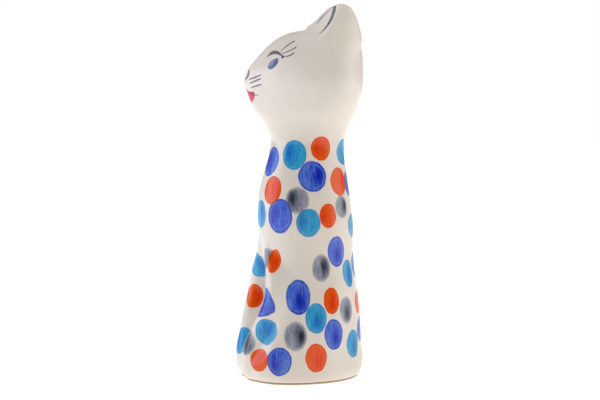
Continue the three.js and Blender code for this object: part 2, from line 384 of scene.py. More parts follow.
print(f"the skin has {len(skin.polygons)} faces")

# %% [markdown]
# ## Cut the skin into its castings
#
# Each casting keeps its own faces. The torso and head are hollow, so `solidify` gives them the wall
# that slip leaves in a mould. The ears and forelegs are pressed solid and luted on, so only their
# outer few millimetres matter, and the same operator closes them behind without any face that
# could show through the front. Cutting a mesh makes each side work out its own normals along the
# cut, which would show as a dark line in the glaze, so each casting is given the normals of the
# whole skin.

# %% Cut and thicken
WALL, LIMB_SKIN = 4.5 * MM, 2.5 * MM
HOLLOW = ("torso", "head")
SAME_WAY = 0.3  # a face turned less than this towards the skin's normal is inside or on the cut


def casting(name):
    """The object for one casting, cut from the skin and closed behind."""
    bm = bmesh.new()
    bm.from_mesh(skin)
    layer = bm.verts.layers.int["piece"]
    number = PIECES.index(name)
    spare = [f for f in bm.faces if max(v[layer] for v in f.verts) != number]
    bmesh.ops.delete(bm, geom=spare, context="FACES")
    bmesh.ops.solidify(bm, geom=bm.faces[:], thickness=WALL if name in HOLLOW else LIMB_SKIN)
    mesh = bpy.data.meshes.new(name)
    bm.to_mesh(mesh)
    bm.free()
    take_skin_normals(mesh)
    return placed(name, mesh)


def take_skin_normals(mesh):
    """Outer corners take the whole skin's normals; inner and cut faces keep their own."""
    corner_vertex = read(mesh.loops, "vertex_index", 1, np.int32).ravel()
    kept = read(mesh.attributes["skin_normal"].data, "vector", 3)[corner_vertex]
    face_normal = read(mesh.polygons, "normal", 3)
    own = np.repeat(face_normal, read(mesh.polygons, "loop_total", 1, np.int32).ravel(), axis=0)
    outer = (kept * own).sum(1) > SAME_WAY
    mesh.shade_smooth()
    mesh.normals_split_custom_set(np.where(outer[:, None], kept, own).tolist())


def read(collection, name, width, kind=np.float32):
    """One property of every item, as rows."""
    values = np.empty(len(collection) * width, kind)
    collection.foreach_get(name, values)
    return values.reshape(-1, width)


def placed(name, mesh):
    """A new piece of the cat, which rides on its one body."""
    piece = bpy.data.objects.new(name, mesh)
    bpy.context.scene.collection.objects.link(piece)
    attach(piece, "root")
    return piece


cat = {name: casting(name) for name in PIECES}
print({name: len(piece.data.polygons) for name, piece in cat.items()})

# %% [markdown]
# ## The foot
#
# Glaze sticks to a kiln shelf, so a potter wipes it off the rim that the cat stands on. The rim is
# grown from the skin's own lower edge, so it keeps the outline of the paws. Extruding that edge a
# step at a time, inwards and down, gives the small bevel that wiping leaves, and the faces are all
# quads. The clay floor inside, with its vent hole, is the engineering model's own piece.

# %% Roll the standing rim
RIM_STEPS = [  # how far inside the glaze, and how high, in millimetres
    (0.30, 0.90), (0.30, 0.60), (0.40, 0.30), (0.70, 0.08), (1.2, 0.0),
    (3.6, 0.0), (4.1, 0.2), (4.3, 0.5), (4.3, 0.90),
]


def inward(vertex):
    """The level direction from the rim towards the inside of the cat."""
    out = [e.other_vert(vertex).co - vertex.co for e in vertex.link_edges]
    along = (out[0] - out[-1]).normalized()
    across = Vector((-along.y, along.x, 0)).normalized()
    centre = Vector((0, 0, vertex.co.z)) - vertex.co
    return across if across.dot(centre) > 0 else -across


bm = bmesh.new()
bm.from_mesh(skin)
bmesh.ops.delete(bm, geom=[v for v in bm.verts if not v.is_boundary], context="VERTS")
bmesh.ops.delete(bm, geom=[e for e in bm.edges if not e.is_wire], context="EDGES")
first = bm.verts[:]
ways = [inward(v) for v in first]
starts = [v.co.copy() for v in first]
loops = []
edges = bm.edges[:]
ring = first
for number, (inset, height) in enumerate(RIM_STEPS):
    if number:
        made = bmesh.ops.extrude_edge_only(bm, edges=edges)["geom"]
        edges = [item for item in made if isinstance(item, bmesh.types.BMEdge)]
        new = {v for e in edges for v in e.verts}
        ring = [next(e.other_vert(v) for e in v.link_edges if e.other_vert(v) in new) for v in ring]
    for vertex, way_in, start in zip(ring, ways, starts):
        vertex.co = start + way_in * inset * MM
        vertex.co.z = height * MM
    loops.append(edges)
bmesh.ops.bridge_loops(bm, edges=loops[0] + loops[-1])
bmesh.ops.recalc_face_normals(bm, faces=bm.faces)
rim_mesh = bpy.data.meshes.new("wiped_foot")
bm.to_mesh(rim_mesh)
bm.free()
rim_mesh.shade_smooth()
cat["wiped_foot"] = placed("wiped_foot", rim_mesh)
print(f"the rim has {len(rim_mesh.polygons)} faces")

# %% [markdown]
# ## Where the spots are stamped
#
# The painter dabs each spot with a shaped sponge, going round the cat colour by colour. A spot is a
# little taller than wide and lies flat on the clay. Each one is given here by the way it faces
# (degrees round from the chest towards the left flank), its height, and how tall and how wide it
# is in millimetres. The far flank is stamped with the same pattern the other way round.
#
# An image could hold the spots, but it would blur close up. Instead each face of the skin is told
# how far its corners are from the nearest spot of each colour, across and up, in spot sizes. A
# material can then draw a crisp edge, and knows which way is up for the sponge's streaks.

# %% The stamped spots
STAMPS = {
    "cobalt": [
        (11, 105, 15, 12), (92, 99, 15, 14), (157, 94, 13, 11), (44, 80, 17, 13),
        (121, 63, 15, 10), (156, 55, 13, 10), (30, 39, 15, 12), (70, 42, 17, 12),
        (-46, 34, 13, 11), (109, 24, 15, 10), (153, 24, 13, 11), (52, 12, 14, 12),
    ],
    "turquoise": [
        (62, 109, 15, 12), (149, 110, 13, 11), (6, 80, 14, 11), (84, 77, 14, 12),
        (153, 74, 12, 11), (-21, 54, 13, 11), (136, 52, 14, 8), (91, 32, 15, 11),
        (35, 25, 13, 12), (134, 18, 14, 10), (-8, 18, 14, 10),
    ],
    "orange": [
        (107, 112, 12, 10), (133, 96, 14, 11), (28, 92, 14, 11), (111, 80, 12, 9),
        (37, 58, 12, 7), (-25, 38, 12, 9), (109, 40, 13, 8), (150, 37, 12, 10),
        (31, 12, 11, 11), (89, 13, 14, 11),
    ],
    "grey": [
        (68, 88, 14, 12), (132, 84, 12, 9), (99, 55, 14, 10), (20, 58, 13, 9),
        (126, 35, 14, 9), (67, 24, 15, 12), (15, 19, 14, 10),
    ],
}
FAR_FLANK = 324  # a spot and its reflection face ways that add up to this
ROOM_DEGREES = 24
PATCH = 0.35  # the part of a spot's height whose clay decides which way it faces
DEGREE_MM = 0.4  # about how far one degree is round the body
STAMP_TURNS, STAMP_DEEP, STAMP_FADES = 0.15, 5.5, 9  # a sponge reaches only clay that faces it
NO_SPOT = (9, 9, 0)


def both_flanks(stamps):
    """The listed spots, and their reflections on the far flank where there is room for one."""
    far = [(FAR_FLANK - turn, up, *size) for turn, up, *size in stamps]
    return stamps + [
        (turn, up, *size)
        for turn, up, *size in far
        if all(
            abs((turn - listed[0] + 180) % 360 - 180) > ROOM_DEGREES
            or abs(up - listed[1]) > size[0]
            for listed in stamps
        )
    ]


skin_points = read(skin.vertices, "co", 3) / MM
skin_normals = read(skin.vertices, "normal", 3)
skin_turns = np.degrees(np.arctan2(skin_points[:, 0], -skin_points[:, 1]))


def stamp_frame(turn, up, tall, wide):
    """Where a spot sits on the skin, the two ways its corners are measured, and its normal."""
    off = (skin_turns - turn + 180) % 360 - 180
    nearest = np.argmin((off * DEGREE_MM) ** 2 + (skin_points[:, 2] - up) ** 2)
    centre = skin_points[nearest]
    around = np.linalg.norm(skin_points - centre, axis=1) < tall * PATCH
    normal = skin_normals[around].mean(0)
    normal /= np.linalg.norm(normal)
    side = np.cross([0, 0, 1], normal)
    side /= np.linalg.norm(side)
    upward = np.cross(normal, side)
    return centre, side / (wide / 2), upward / (tall / 2), normal


def stamp(piece, colour_name, frames):
    """Writes each corner's place in the nearest spot of a colour: across, up, and which spot."""
    mesh = piece.data
    points = read(mesh.vertices, "co", 3) / MM
    corner_vertex = read(mesh.loops, "vertex_index", 1, np.int32).ravel()
    counts = read(mesh.polygons, "loop_total", 1, np.int32).ravel()
    centres = read(mesh.polygons, "center", 3) / MM
    facing = read(mesh.polygons, "normal", 3)
    best = np.full(len(centres), np.inf)
    which = np.zeros(len(centres), int)
    for number, (centre, side, upward, normal) in enumerate(frames):
        from_centre = centres - centre
        far = (from_centre @ side) ** 2 + (from_centre @ upward) ** 2
        within = (facing @ normal > STAMP_TURNS) & (np.abs(from_centre @ normal) < STAMP_DEEP)
        far = np.where(within, far, np.inf)
        which = np.where(far < best, number, which)
        best = np.minimum(far, best)
    corner_which = np.repeat(which, counts)
    blank = np.repeat(best, counts) > STAMP_FADES
    corner = points[corner_vertex]
    centre = np.array([f[0] for f in frames])[corner_which]
    across = ((corner - centre) * np.array([f[1] for f in frames])[corner_which]).sum(1)
    up = ((corner - centre) * np.array([f[2] for f in frames])[corner_which]).sum(1)
    place = np.stack([across, up, corner_which + 1.0], 1)
    place[blank] = NO_SPOT
    layer = mesh.attributes.new(f"{colour_name}_stamp", "FLOAT_VECTOR", "CORNER")
    layer.data.foreach_set("vector", place.astype(np.float32).ravel())


for colour_name, stamps in STAMPS.items():
    frames = [stamp_frame(*one) for one in both_flanks(stamps)]
    for piece in cat.values():
        stamp(piece, colour_name, frames)
    print(f"{len(frames)} {colour_name} spots")

# %% [markdown]
# ## Nodes and colours
#
# Every material is built from the same small step: add one node, set it, and link what feeds it.
# Colours are given as the sRGB hex values a colour picker shows, and one function turns them into
# the linear values that light works in.

# %% Helpers for materials
MATH, VECTOR, MIX, RANGE = (
    "ShaderNodeMath",
    "ShaderNodeVectorMath",
    "ShaderNodeMix",
    "ShaderNodeMapRange",
)


def add(tree, kind, inputs=None, **settings):
    """A new node. Inputs are values or other nodes' sockets, by the input's name or number."""
    node = tree.nodes.new(kind)
    for name, value in settings.items():
        setattr(node, name, value)
    for key, value in (inputs or {}).items():
        if isinstance(value, bpy.types.NodeSocket):
            tree.links.new(value, node.inputs[key])
        else:
            node.inputs[key].default_value = value
    return node


def linear(hex_code):
    """An sRGB hex colour as linear red, green, blue and a solid alpha."""
    parts = [int(hex_code[i : i + 2], 16) / 255 for i in (1, 3, 5)]
    return [p / 12.92 if p <= 0.04045 else ((p + 0.055) / 1.055) ** 2.4 for p in parts] + [1]


def new_group(name, inputs, outputs):
    """An empty node group with its sockets, and its input and output nodes."""
    group = bpy.data.node_groups.new(name, "ShaderNodeTree")
    for socket, kind in inputs.items():
        group.interface.new_socket(socket, in_out="INPUT", socket_type=kind)
    for socket, kind in outputs.items():
        group.interface.new_socket(socket, in_out="OUTPUT", socket_type=kind)
    return group, group.nodes.new("NodeGroupInput"), group.nodes.new("NodeGroupOutput")


FLOAT, COLOUR, PLACE = "NodeSocketFloat", "NodeSocketColor", "NodeSocketVector"
print("white is", linear("#FFFFFF"))

# %% [markdown]
# ## A sponge stamp's stain
#
# The colours are metal oxides in water, dabbed on raw clay that drinks them at once. So a spot is a
# watercolour: darker where the sponge first touched and left a pool, streaked up and down where it
# was drawn away, with a thin pale ring and a faint dark rim where the wet edge dried. The glaze
# melts over it, so the edge is crisp to about a tenth of a millimetre. One node group draws any
# spot from its corner places, with the third number as the seed that makes each spot its own.

# %% Stamp stain group
SEED_STEP = 7.31  # takes each spot to its own part of the noise
WANDER = 0.16  # how far the wet edge strays, where 1 is half a spot
STREAK_WAYS = (6.0, 1.1, 1.0)  # the streaks are narrow across and long up and down

stain, given, made = new_group(
    "sponge stamp stain",
    {
        "Place": PLACE,
        "Thin": COLOUR,
        "Body": COLOUR,
        "Pool": COLOUR,
        "Feather": FLOAT,
        "Depth": FLOAT,
    },
    {"Colour": COLOUR, "Cover": FLOAT},
)
parts = add(stain, "ShaderNodeSeparateXYZ", {0: given.outputs["Place"]})
across, upward, seed = parts.outputs
seed = add(stain, MATH, {0: seed}, operation="ROUND").outputs[0]
seed_far = add(stain, MATH, {0: seed, 1: SEED_STEP}, operation="MULTIPLY").outputs[0]
flat = add(stain, "ShaderNodeCombineXYZ", {0: across, 1: upward}).outputs[0]
own = add(stain, "ShaderNodeCombineXYZ", {0: across, 1: upward, 2: seed_far}).outputs[0]
wobble = add(stain, "ShaderNodeTexNoise", {"Vector": own, "Scale": 1.3, "Detail": 2.0}).outputs[0]
radius = add(stain, VECTOR, {0: flat}, operation="LENGTH").outputs["Value"]
wander = add(
    stain, MATH, {0: wobble, 1: WANDER, 2: -WANDER / 2}, operation="MULTIPLY_ADD"
).outputs[0]
edge = add(stain, MATH, {0: radius, 1: wander}, operation="ADD").outputs[0]
inner = add(stain, MATH, {0: 1.0, 1: given.outputs["Feather"]}, operation="SUBTRACT").outputs[0]
cover = add(
    stain, RANGE, {0: edge, 1: inner, 2: 1.0, 3: 1.0, 4: 0.0}, interpolation_type="SMOOTHSTEP"
).outputs[0]
stroke_way = add(stain, VECTOR, {0: own, 1: STREAK_WAYS}, operation="MULTIPLY").outputs[0]
streak = add(
    stain,
    "ShaderNodeTexNoise",
    {"Vector": stroke_way, "Scale": 1.0, "Detail": 4.0, "Roughness": 0.65, "Distortion": 0.7},
).outputs[0]
grain = add(
    stain, "ShaderNodeTexNoise", {"Vector": own, "Scale": 9.0, "Detail": 2.0, "Roughness": 0.7}
).outputs[0]
print("stain edges follow a wandering radius")

# %% Stain pools, ring and rim
POOL_STRAYS = (1.1, 0.9, 0)  # the pool lands anywhere in a box this wide and tall
POOL_SHAPE = (1.35, 0.85, 0)
RING_AT, RING_WIDE, RING_PALE = 0.8, 0.08, 1.2
RIM_FROM, RIM_TO, RIM_DARK = 0.84, 0.97, 0.6

chance = add(stain, "ShaderNodeTexWhiteNoise", {"W": seed}, noise_dimensions="1D").outputs["Color"]
back_half = tuple(-stray / 2 for stray in POOL_STRAYS)
pool_place = add(
    stain, VECTOR, {0: chance, 1: POOL_STRAYS, 2: back_half}, operation="MULTIPLY_ADD"
).outputs[0]
to_pool = add(stain, VECTOR, {0: flat, 1: pool_place}, operation="SUBTRACT").outputs[0]
pool_shape = add(stain, VECTOR, {0: to_pool, 1: POOL_SHAPE}, operation="MULTIPLY").outputs[0]
pool_far = add(stain, VECTOR, {0: pool_shape}, operation="LENGTH").outputs["Value"]
pool_wave = add(stain, MATH, {0: streak, 1: 0.6, 2: -0.3}, operation="MULTIPLY_ADD").outputs[0]
pool_edge = add(stain, MATH, {0: pool_far, 1: pool_wave}, operation="ADD").outputs[0]
pool = add(
    stain, RANGE, {0: pool_edge, 1: 0.0, 2: 1.0, 3: 1.0, 4: 0.0}, interpolation_type="SMOOTHSTEP"
).outputs[0]
pool = add(stain, MATH, {0: pool, 1: given.outputs["Depth"]}, operation="MULTIPLY").outputs[0]
ring_near = add(stain, MATH, {0: edge, 1: RING_AT}, operation="SUBTRACT").outputs[0]
ring_near = add(stain, MATH, {0: ring_near}, operation="ABSOLUTE").outputs[0]
ring = add(stain, RANGE, {0: ring_near, 1: 0.0, 2: RING_WIDE, 3: RING_PALE, 4: 0.0}).outputs[0]
ring = add(stain, MATH, {0: ring, 1: wobble}, operation="MULTIPLY").outputs[0]
rim = add(stain, RANGE, {0: edge, 1: RIM_FROM, 2: RIM_TO, 3: 0.0, 4: RIM_DARK}).outputs[0]
wash = add(stain, RANGE, {0: streak, 1: 0.4, 2: 0.62, 3: 0.0, 4: 0.7}).outputs[0]
speckle = add(stain, RANGE, {0: grain, 1: 0.42, 2: 0.62, 3: 0.0, 4: 0.5}).outputs[0]
wash = add(stain, MATH, {0: wash, 1: speckle}, operation="ADD", use_clamp=True).outputs[0]
tint = given.outputs["Body"]
for amount, toward in ((wash, "Thin"), (pool, "Pool"), (ring, "Thin"), (rim, "Pool")):
    mixed = add(stain, MIX, {0: amount, 6: tint, 7: given.outputs[toward]}, data_type="RGBA")
    tint = mixed.outputs[2]
stain.links.new(tint, made.inputs["Colour"])
stain.links.new(cover, made.inputs["Cover"])
print("stain group has", len(stain.nodes), "nodes")

# %% [markdown]
# ## A brush stroke
#
# The face is drawn freehand with a thin liner brush. A stroke starts fine, swells as the brush is
# pressed and tapers as it lifts, and it bows. The group measures how far a point is from a bowed
# line and compares that with the brush's width there. All lengths are millimetres.

# %% Brush stroke group
brush, given, made = new_group(
    "liner brush stroke",
    {
        "Point": PLACE,
        "From": PLACE,
        "To": PLACE,
        "Bow": FLOAT,
        "Start": FLOAT,
        "Swell": FLOAT,
        "End": FLOAT,
    },
    {"Ink": FLOAT},
)
start = given.outputs["From"]
line = add(brush, VECTOR, {0: given.outputs["To"], 1: start}, operation="SUBTRACT").outputs[0]
span = add(brush, VECTOR, {0: line}, operation="LENGTH").outputs["Value"]
unit = add(brush, VECTOR, {0: line}, operation="NORMALIZE").outputs[0]
offset = add(brush, VECTOR, {0: given.outputs["Point"], 1: start}, operation="SUBTRACT").outputs[0]
run = add(brush, VECTOR, {0: offset, 1: unit}, operation="DOT_PRODUCT").outputs["Value"]
normal_way = add(brush, VECTOR, {0: unit, 1: (0, 0, 1)}, operation="CROSS_PRODUCT").outputs[0]
away = add(brush, VECTOR, {0: offset, 1: normal_way}, operation="DOT_PRODUCT").outputs["Value"]
along = add(brush, MATH, {0: run, 1: span}, operation="DIVIDE", use_clamp=True).outputs[0]
left = add(brush, MATH, {0: 1.0, 1: along}, operation="SUBTRACT").outputs[0]
hump = add(brush, MATH, {0: along, 1: left}, operation="MULTIPLY").outputs[0]
hump = add(brush, MATH, {0: hump, 1: 4.0}, operation="MULTIPLY").outputs[0]
bowed = add(brush, MATH, {0: hump, 1: given.outputs["Bow"]}, operation="MULTIPLY").outputs[0]
off = add(brush, MATH, {0: away, 1: bowed}, operation="ADD").outputs[0]
on_line = add(brush, MATH, {0: along, 1: span}, operation="MULTIPLY").outputs[0]
beyond = add(brush, MATH, {0: run, 1: on_line}, operation="SUBTRACT").outputs[0]
reach_to = add(brush, "ShaderNodeCombineXYZ", {0: off, 1: beyond}).outputs[0]
distance = add(brush, VECTOR, {0: reach_to}, operation="LENGTH").outputs["Value"]
width = add(brush, MIX, {0: along, 2: given.outputs["Start"], 3: given.outputs["End"]}).outputs[0]
width = add(
    brush, MATH, {0: hump, 1: given.outputs["Swell"], 2: width}, operation="MULTIPLY_ADD"
).outputs[0]
half_width = add(brush, MATH, {0: width, 1: 0.5}, operation="MULTIPLY").outputs[0]
outside = add(brush, MATH, {0: distance, 1: half_width}, operation="SUBTRACT").outputs[0]
ink = add(
    brush, RANGE, {0: outside, 1: -0.1, 2: 0.12, 3: 1.0, 4: 0.0}, interpolation_type="SMOOTHSTEP"
).outputs[0]
brush.links.new(ink, made.inputs["Ink"])
print("brush group has", len(brush.nodes), "nodes")

# %% [markdown]
# ## Clear glaze on cream stoneware
#
# The clay fires to a warm cream, and a clear glaze about half a millimetre thick covers it. The
# glaze lies level, so it mirrors softly: a coat of index 1.5 over the rougher coloured clay. Up
# close there are sparse iron specks, and a very low ripple, like skin on a lemon, in which the
# highlights waver. The glaze is a little warmer where it gathers.

# %% Glazed stoneware
CREAM, WARM_CREAM, IRON = "#E8DED2", "#E1D5C6", "#84705F"
GATHER_MM, SPECK_MM, RIPPLE_MM, SKIN_MM = 34.0, 0.9, 5.0, 0.7


def noise(tree, at, size_mm, **more):
    """A noise whose lumps are about the given size, on coordinates in metres."""
    return add(
        tree, "ShaderNodeTexNoise", {"Vector": at, "Scale": 1 / (size_mm * MM), **more}
    ).outputs[0]


def glaze(name):
    """Clear-glazed cream stoneware: the material, its tree, its colour so far, and its shader."""
    material = bpy.data.materials.new(name)
    material.use_nodes = True
    tree = material.node_tree
    shader = tree.nodes["Principled BSDF"]
    at = add(tree, "ShaderNodeTexCoord").outputs["Object"]
    gather = add(tree, RANGE, {0: noise(tree, at, GATHER_MM, Detail=2.0), 1: 0.35, 2: 0.65})
    tone = add(
        tree,
        MIX,
        {0: gather.outputs[0], 6: linear(CREAM), 7: linear(WARM_CREAM)},
        data_type="RGBA",
    ).outputs[2]
    speck = noise(tree, at, SPECK_MM, Detail=1.0)
    speck = add(tree, RANGE, {0: speck, 1: 0.715, 2: 0.77, 3: 0.0, 4: 0.28}).outputs[0]
    tone = add(tree, MIX, {0: speck, 6: tone, 7: linear(IRON)}, data_type="RGBA").outputs[2]
    ripple = noise(tree, at, RIPPLE_MM, Detail=1.0)
    skin_noise = noise(tree, at, SKIN_MM, Detail=2.0)
    relief_height = add(tree, MATH, {0: skin_noise, 1: 0.12, 2: ripple}, operation="MULTIPLY_ADD")
    bump = add(
        tree,
        "ShaderNodeBump",
        {"Strength": 0.16, "Distance": 0.35 * MM, "Height": relief_height.outputs[0]},
    ).outputs[0]
    tree.links.new(bump, shader.inputs["Coat Normal"])
    shader.inputs["Roughness"].default_value = 0.55
    shader.inputs["IOR"].default_value = 1.5
    shader.inputs["Specular IOR Level"].default_value = 0.05
    shader.inputs["Coat Weight"].default_value = 0.6
    shader.inputs["Coat Roughness"].default_value = 0.17
    shader.inputs["Coat IOR"].default_value = 1.5
    return material, tree, tone, shader, at


# %% Stamped glaze on the body
STAINS = {  # thin wash, body of the stain, pool, how soft the edge is, how deep the pool is
    "grey": ("#BCC6DE", "#7986AE", "#0E1838", 0.22, 0.95),
    "turquoise": ("#54CAFF", "#00A0FF", "#006CE4", 0.09, 0.75),
    "cobalt": ("#6E98FF", "#1C50FF", "#0420D6", 0.05, 1.0),
    "orange": ("#FF7818", "#FF4000", "#FF2400", 0.05, 0.6),
}

OVERLAP_SHOWS = 0.55  # how much of an under spot shows through the one stamped over it

material, tree, tone, shader, at = glaze("stamped and hand-painted glazed stoneware")
glazed = material
unstamped = tone
for name, (thin, body, deep, feather, depth) in STAINS.items():
    place = add(tree, "ShaderNodeAttribute", attribute_name=f"{name}_stamp").outputs["Vector"]
    spot = add(tree, "ShaderNodeGroup", node_tree=stain)
    tree.links.new(place, spot.inputs["Place"])
    for socket, value in (
        ("Thin", linear(thin)),
        ("Body", linear(body)),
        ("Pool", linear(deep)),
        ("Feather", feather),
        ("Depth", depth),
    ):
        spot.inputs[socket].default_value = value
    covered = add(
        tree, MATH, {0: spot.outputs["Cover"], 1: 1 - OVERLAP_SHOWS}, operation="MULTIPLY"
    ).outputs[0]
    under = add(tree, MIX, {0: covered, 6: tone, 7: unstamped}, data_type="RGBA").outputs[2]
    tone = add(
        tree,
        MIX,
        {0: spot.outputs["Cover"], 6: under, 7: spot.outputs["Colour"]},
        data_type="RGBA",
        blend_type="MULTIPLY",
    ).outputs[2]
print("stains from under to over:", list(STAINS))

# %% [markdown]
# ## The painted face
#
# The painter works on one side of the head at a time, so the strokes are laid out as seen square
# from the side: how far forward (negative) or back, and how high. The other side is its mirror
# image. The strokes go only on clay that faces the painter, which keeps them off the inner sides
# of the ears. Only the nose and the tongue are laid out as seen from the front.

# %% Strokes of the face
SLATE, IRIS, IRIS_LIGHT, LASH_ROOT, TONGUE = "#3F4468", "#6A73A4", "#A3ABCB", "#3A2C34", "#D8364C"
STROKES = [  # from, to, bow, width at the start, swell, width at the end
    ((-16.2, 155.1), (-9.1, 155.5), 2.1, 0.35, 1.1, 0.9),
    ((-9.9, 157.9), (-3.6, 162.6), 0.3, 0.25, 0.1, 0.5),
    ((-9.3, 156.8), (-3.0, 159.7), -0.2, 0.25, 0.1, 0.55),
    ((-8.9, 155.5), (-4.0, 157.2), -0.6, 0.3, 0.1, 0.6),
    ((-24.6, 148.8), (-25.9, 144.6), 0.3, 0.4, 0.3, 0.4),
    ((-24.4, 144.5), (-19.3, 146.6), 0.0, 0.55, 0.15, 0.5),
    ((-24.2, 142.7), (-19.4, 144.9), 0.0, 0.55, 0.25, 0.6),
    ((-23.4, 140.7), (-19.2, 142.2), 0.0, 0.5, 0.2, 0.6),
    ((-26.4, 141.0), (-20.0, 137.1), -1.4, 0.35, 0.2, 0.35),
    ((7.3, 170.8), (14.8, 179.0), 0.2, 0.25, 0.15, 0.35),
    ((15.6, 179.5), (7.9, 165.8), 1.5, 1.3, 0.3, 0.15),
]

TONGUE_NARROWING = 0.76
TONGUE_TOP, TONGUE_BOTTOM, TONGUE_WIDE = 138.4, 138.2, 9.8
LIP_TOP, LIP_BOTTOM = 138.8, 138.5
NOSE_HALF, NOSE_Z, NOSE_WIDE = 2.2, 144.6, 0.35

axis = (0, TURN_AXIS_Y * MM, 0)
squared = add(
    tree, "ShaderNodeVectorRotate", {"Vector": at, "Center": axis, "Angle": -HEAD_TURN},
    rotation_type="Z_AXIS",
).outputs[0]
in_mm = add(tree, VECTOR, {0: squared, 3: 1 / MM}, operation="SCALE").outputs[0]
side_x, forward_y, up_z = add(tree, "ShaderNodeSeparateXYZ", {0: in_mm}).outputs
side_view = add(tree, "ShaderNodeCombineXYZ", {0: forward_y, 1: up_z}).outputs[0]
surface = add(tree, "ShaderNodeNewGeometry").outputs["Normal"]
level_normal = add(
    tree, "ShaderNodeVectorRotate", {"Vector": surface, "Angle": -HEAD_TURN}, rotation_type="Z_AXIS"
).outputs[0]
normal_x, normal_y, _ = add(tree, "ShaderNodeSeparateXYZ", {0: level_normal}).outputs
facing_front = add(tree, RANGE, {0: normal_y, 1: -0.25, 2: -0.45}).outputs[0]
front_view = add(tree, "ShaderNodeCombineXYZ", {0: side_x, 1: up_z}).outputs[0]
facing_out = add(tree, MATH, {0: side_x, 1: normal_x}, operation="MULTIPLY").outputs[0]
facing_out = add(tree, RANGE, {0: facing_out, 1: 0.0, 2: 0.2}).outputs[0]


def stroke(start, end, bow, begins, swell, ends, view=side_view):
    """One brush stroke on the head, seen from the side or front: how much ink is on each point."""
    one = add(tree, "ShaderNodeGroup", node_tree=brush)
    tree.links.new(view, one.inputs["Point"])
    for socket, value in (
        ("From", (*start, 0)),
        ("To", (*end, 0)),
        ("Bow", bow),
        ("Start", begins),
        ("Swell", swell),
        ("End", ends),
    ):
        one.inputs[socket].default_value = value
    return one.outputs["Ink"]


def paint(under, amount, hex_code, strength=1.0, facing=facing_out):
    """Puts a colour over what is there, only on clay that faces the painter."""
    amount = add(tree, MATH, {0: amount, 1: facing}, operation="MULTIPLY").outputs[0]
    amount = add(tree, MATH, {0: amount, 1: strength}, operation="MULTIPLY").outputs[0]
    return add(
        tree, MIX, {0: amount, 6: under, 7: linear(hex_code)}, data_type="RGBA"
    ).outputs[2]


tone = paint(tone, stroke((-15.4, 150.2), (-11.8, 154.0), 0.0, 1.3, 1.5, 1.3), IRIS)
tone = paint(tone, stroke((-15.2, 150.9), (-12.9, 153.8), 0.1, 0.3, 0.8, 0.2), IRIS_LIGHT, 0.6)
tone = paint(tone, stroke((-15.0, 149.3), (-11.2, 153.3), -0.3, 0.3, 0.4, 0.3), SLATE, 0.9)
tone = paint(tone, stroke((-9.3, 155.0), (-9.1, 155.3), 0.0, 1.0, 0.0, 0.9), LASH_ROOT, 0.9)
narrowed = add(tree, VECTOR, {0: front_view, 1: (TONGUE_NARROWING, 1, 1)}, operation="MULTIPLY")
tongue = stroke(
    (0, TONGUE_TOP), (0, TONGUE_BOTTOM), 0, TONGUE_WIDE, 0, TONGUE_WIDE, narrowed.outputs[0]
)
under_lip = add(tree, RANGE, {0: up_z, 1: LIP_TOP, 2: LIP_BOTTOM}).outputs[0]
tongue = add(tree, MATH, {0: tongue, 1: under_lip}, operation="MULTIPLY").outputs[0]
tone = paint(tone, tongue, TONGUE, facing=facing_front)
nose = stroke(
    (-NOSE_HALF, NOSE_Z), (NOSE_HALF, NOSE_Z), 0.5, NOSE_WIDE, 0.6, NOSE_WIDE, front_view
)
tone = paint(tone, nose, SLATE, 0.9, facing_front)
brush_grain = noise(tree, at, 0.8, Detail=2.0)
load = add(tree, RANGE, {0: brush_grain, 1: 0.3, 2: 0.7, 3: 0.7, 4: 1.0}).outputs[0]
all_ink = 0.0
for one in STROKES:
    all_ink = add(tree, MATH, {0: all_ink, 1: stroke(*one)}, operation="MAXIMUM").outputs[0]
all_ink = add(tree, MATH, {0: all_ink, 1: load}, operation="MULTIPLY").outputs[0]
tone = paint(tone, all_ink, SLATE)
tree.links.new(tone, shader.inputs["Base Color"])
print(len(STROKES), "strokes on each side of the face")

# %% [markdown]
# ## Bare stoneware
#
# The wiped foot is matt fired clay with sand in it. Where the thin edge of the glaze meets it, iron
# drawn out of the clay leaves a toasted brown line, which is the only strong colour on it.

# %% Bare foot
BISCUIT, TOASTED, SAND = "#DCC8B4", "#C09A78", "#9A8470"
TOAST_FROM_MM, TOAST_TO_MM, SAND_MM, TOOTH_MM = 0.1, 0.9, 1.2, 0.5

bare = bpy.data.materials.new("bare fired stoneware")
bare.use_nodes = True
tree = bare.node_tree
shader = tree.nodes["Principled BSDF"]
at = add(tree, "ShaderNodeTexCoord").outputs["Object"]
height = add(tree, "ShaderNodeSeparateXYZ", {0: at}).outputs[2]
toast = add(tree, RANGE, {0: height, 1: TOAST_FROM_MM * MM, 2: TOAST_TO_MM * MM}).outputs[0]
tone = add(
    tree, MIX, {0: toast, 6: linear(BISCUIT), 7: linear(TOASTED)}, data_type="RGBA"
).outputs[2]
sand = add(tree, RANGE, {0: noise(tree, at, SAND_MM, Detail=3.0), 1: 0.58, 2: 0.7, 3: 0.0, 4: 0.6})
tone = add(tree, MIX, {0: sand.outputs[0], 6: tone, 7: linear(SAND)}, data_type="RGBA").outputs[2]
tooth = add(
    tree,
    "ShaderNodeBump",
    {"Strength": 0.5, "Distance": 0.1 * MM, "Height": noise(tree, at, TOOTH_MM, Detail=4.0)},
).outputs[0]
tree.links.new(tone, shader.inputs["Base Color"])
tree.links.new(tooth, shader.inputs["Normal"])
shader.inputs["Roughness"].default_value = 0.85
print("bare clay is toasted near the glaze")

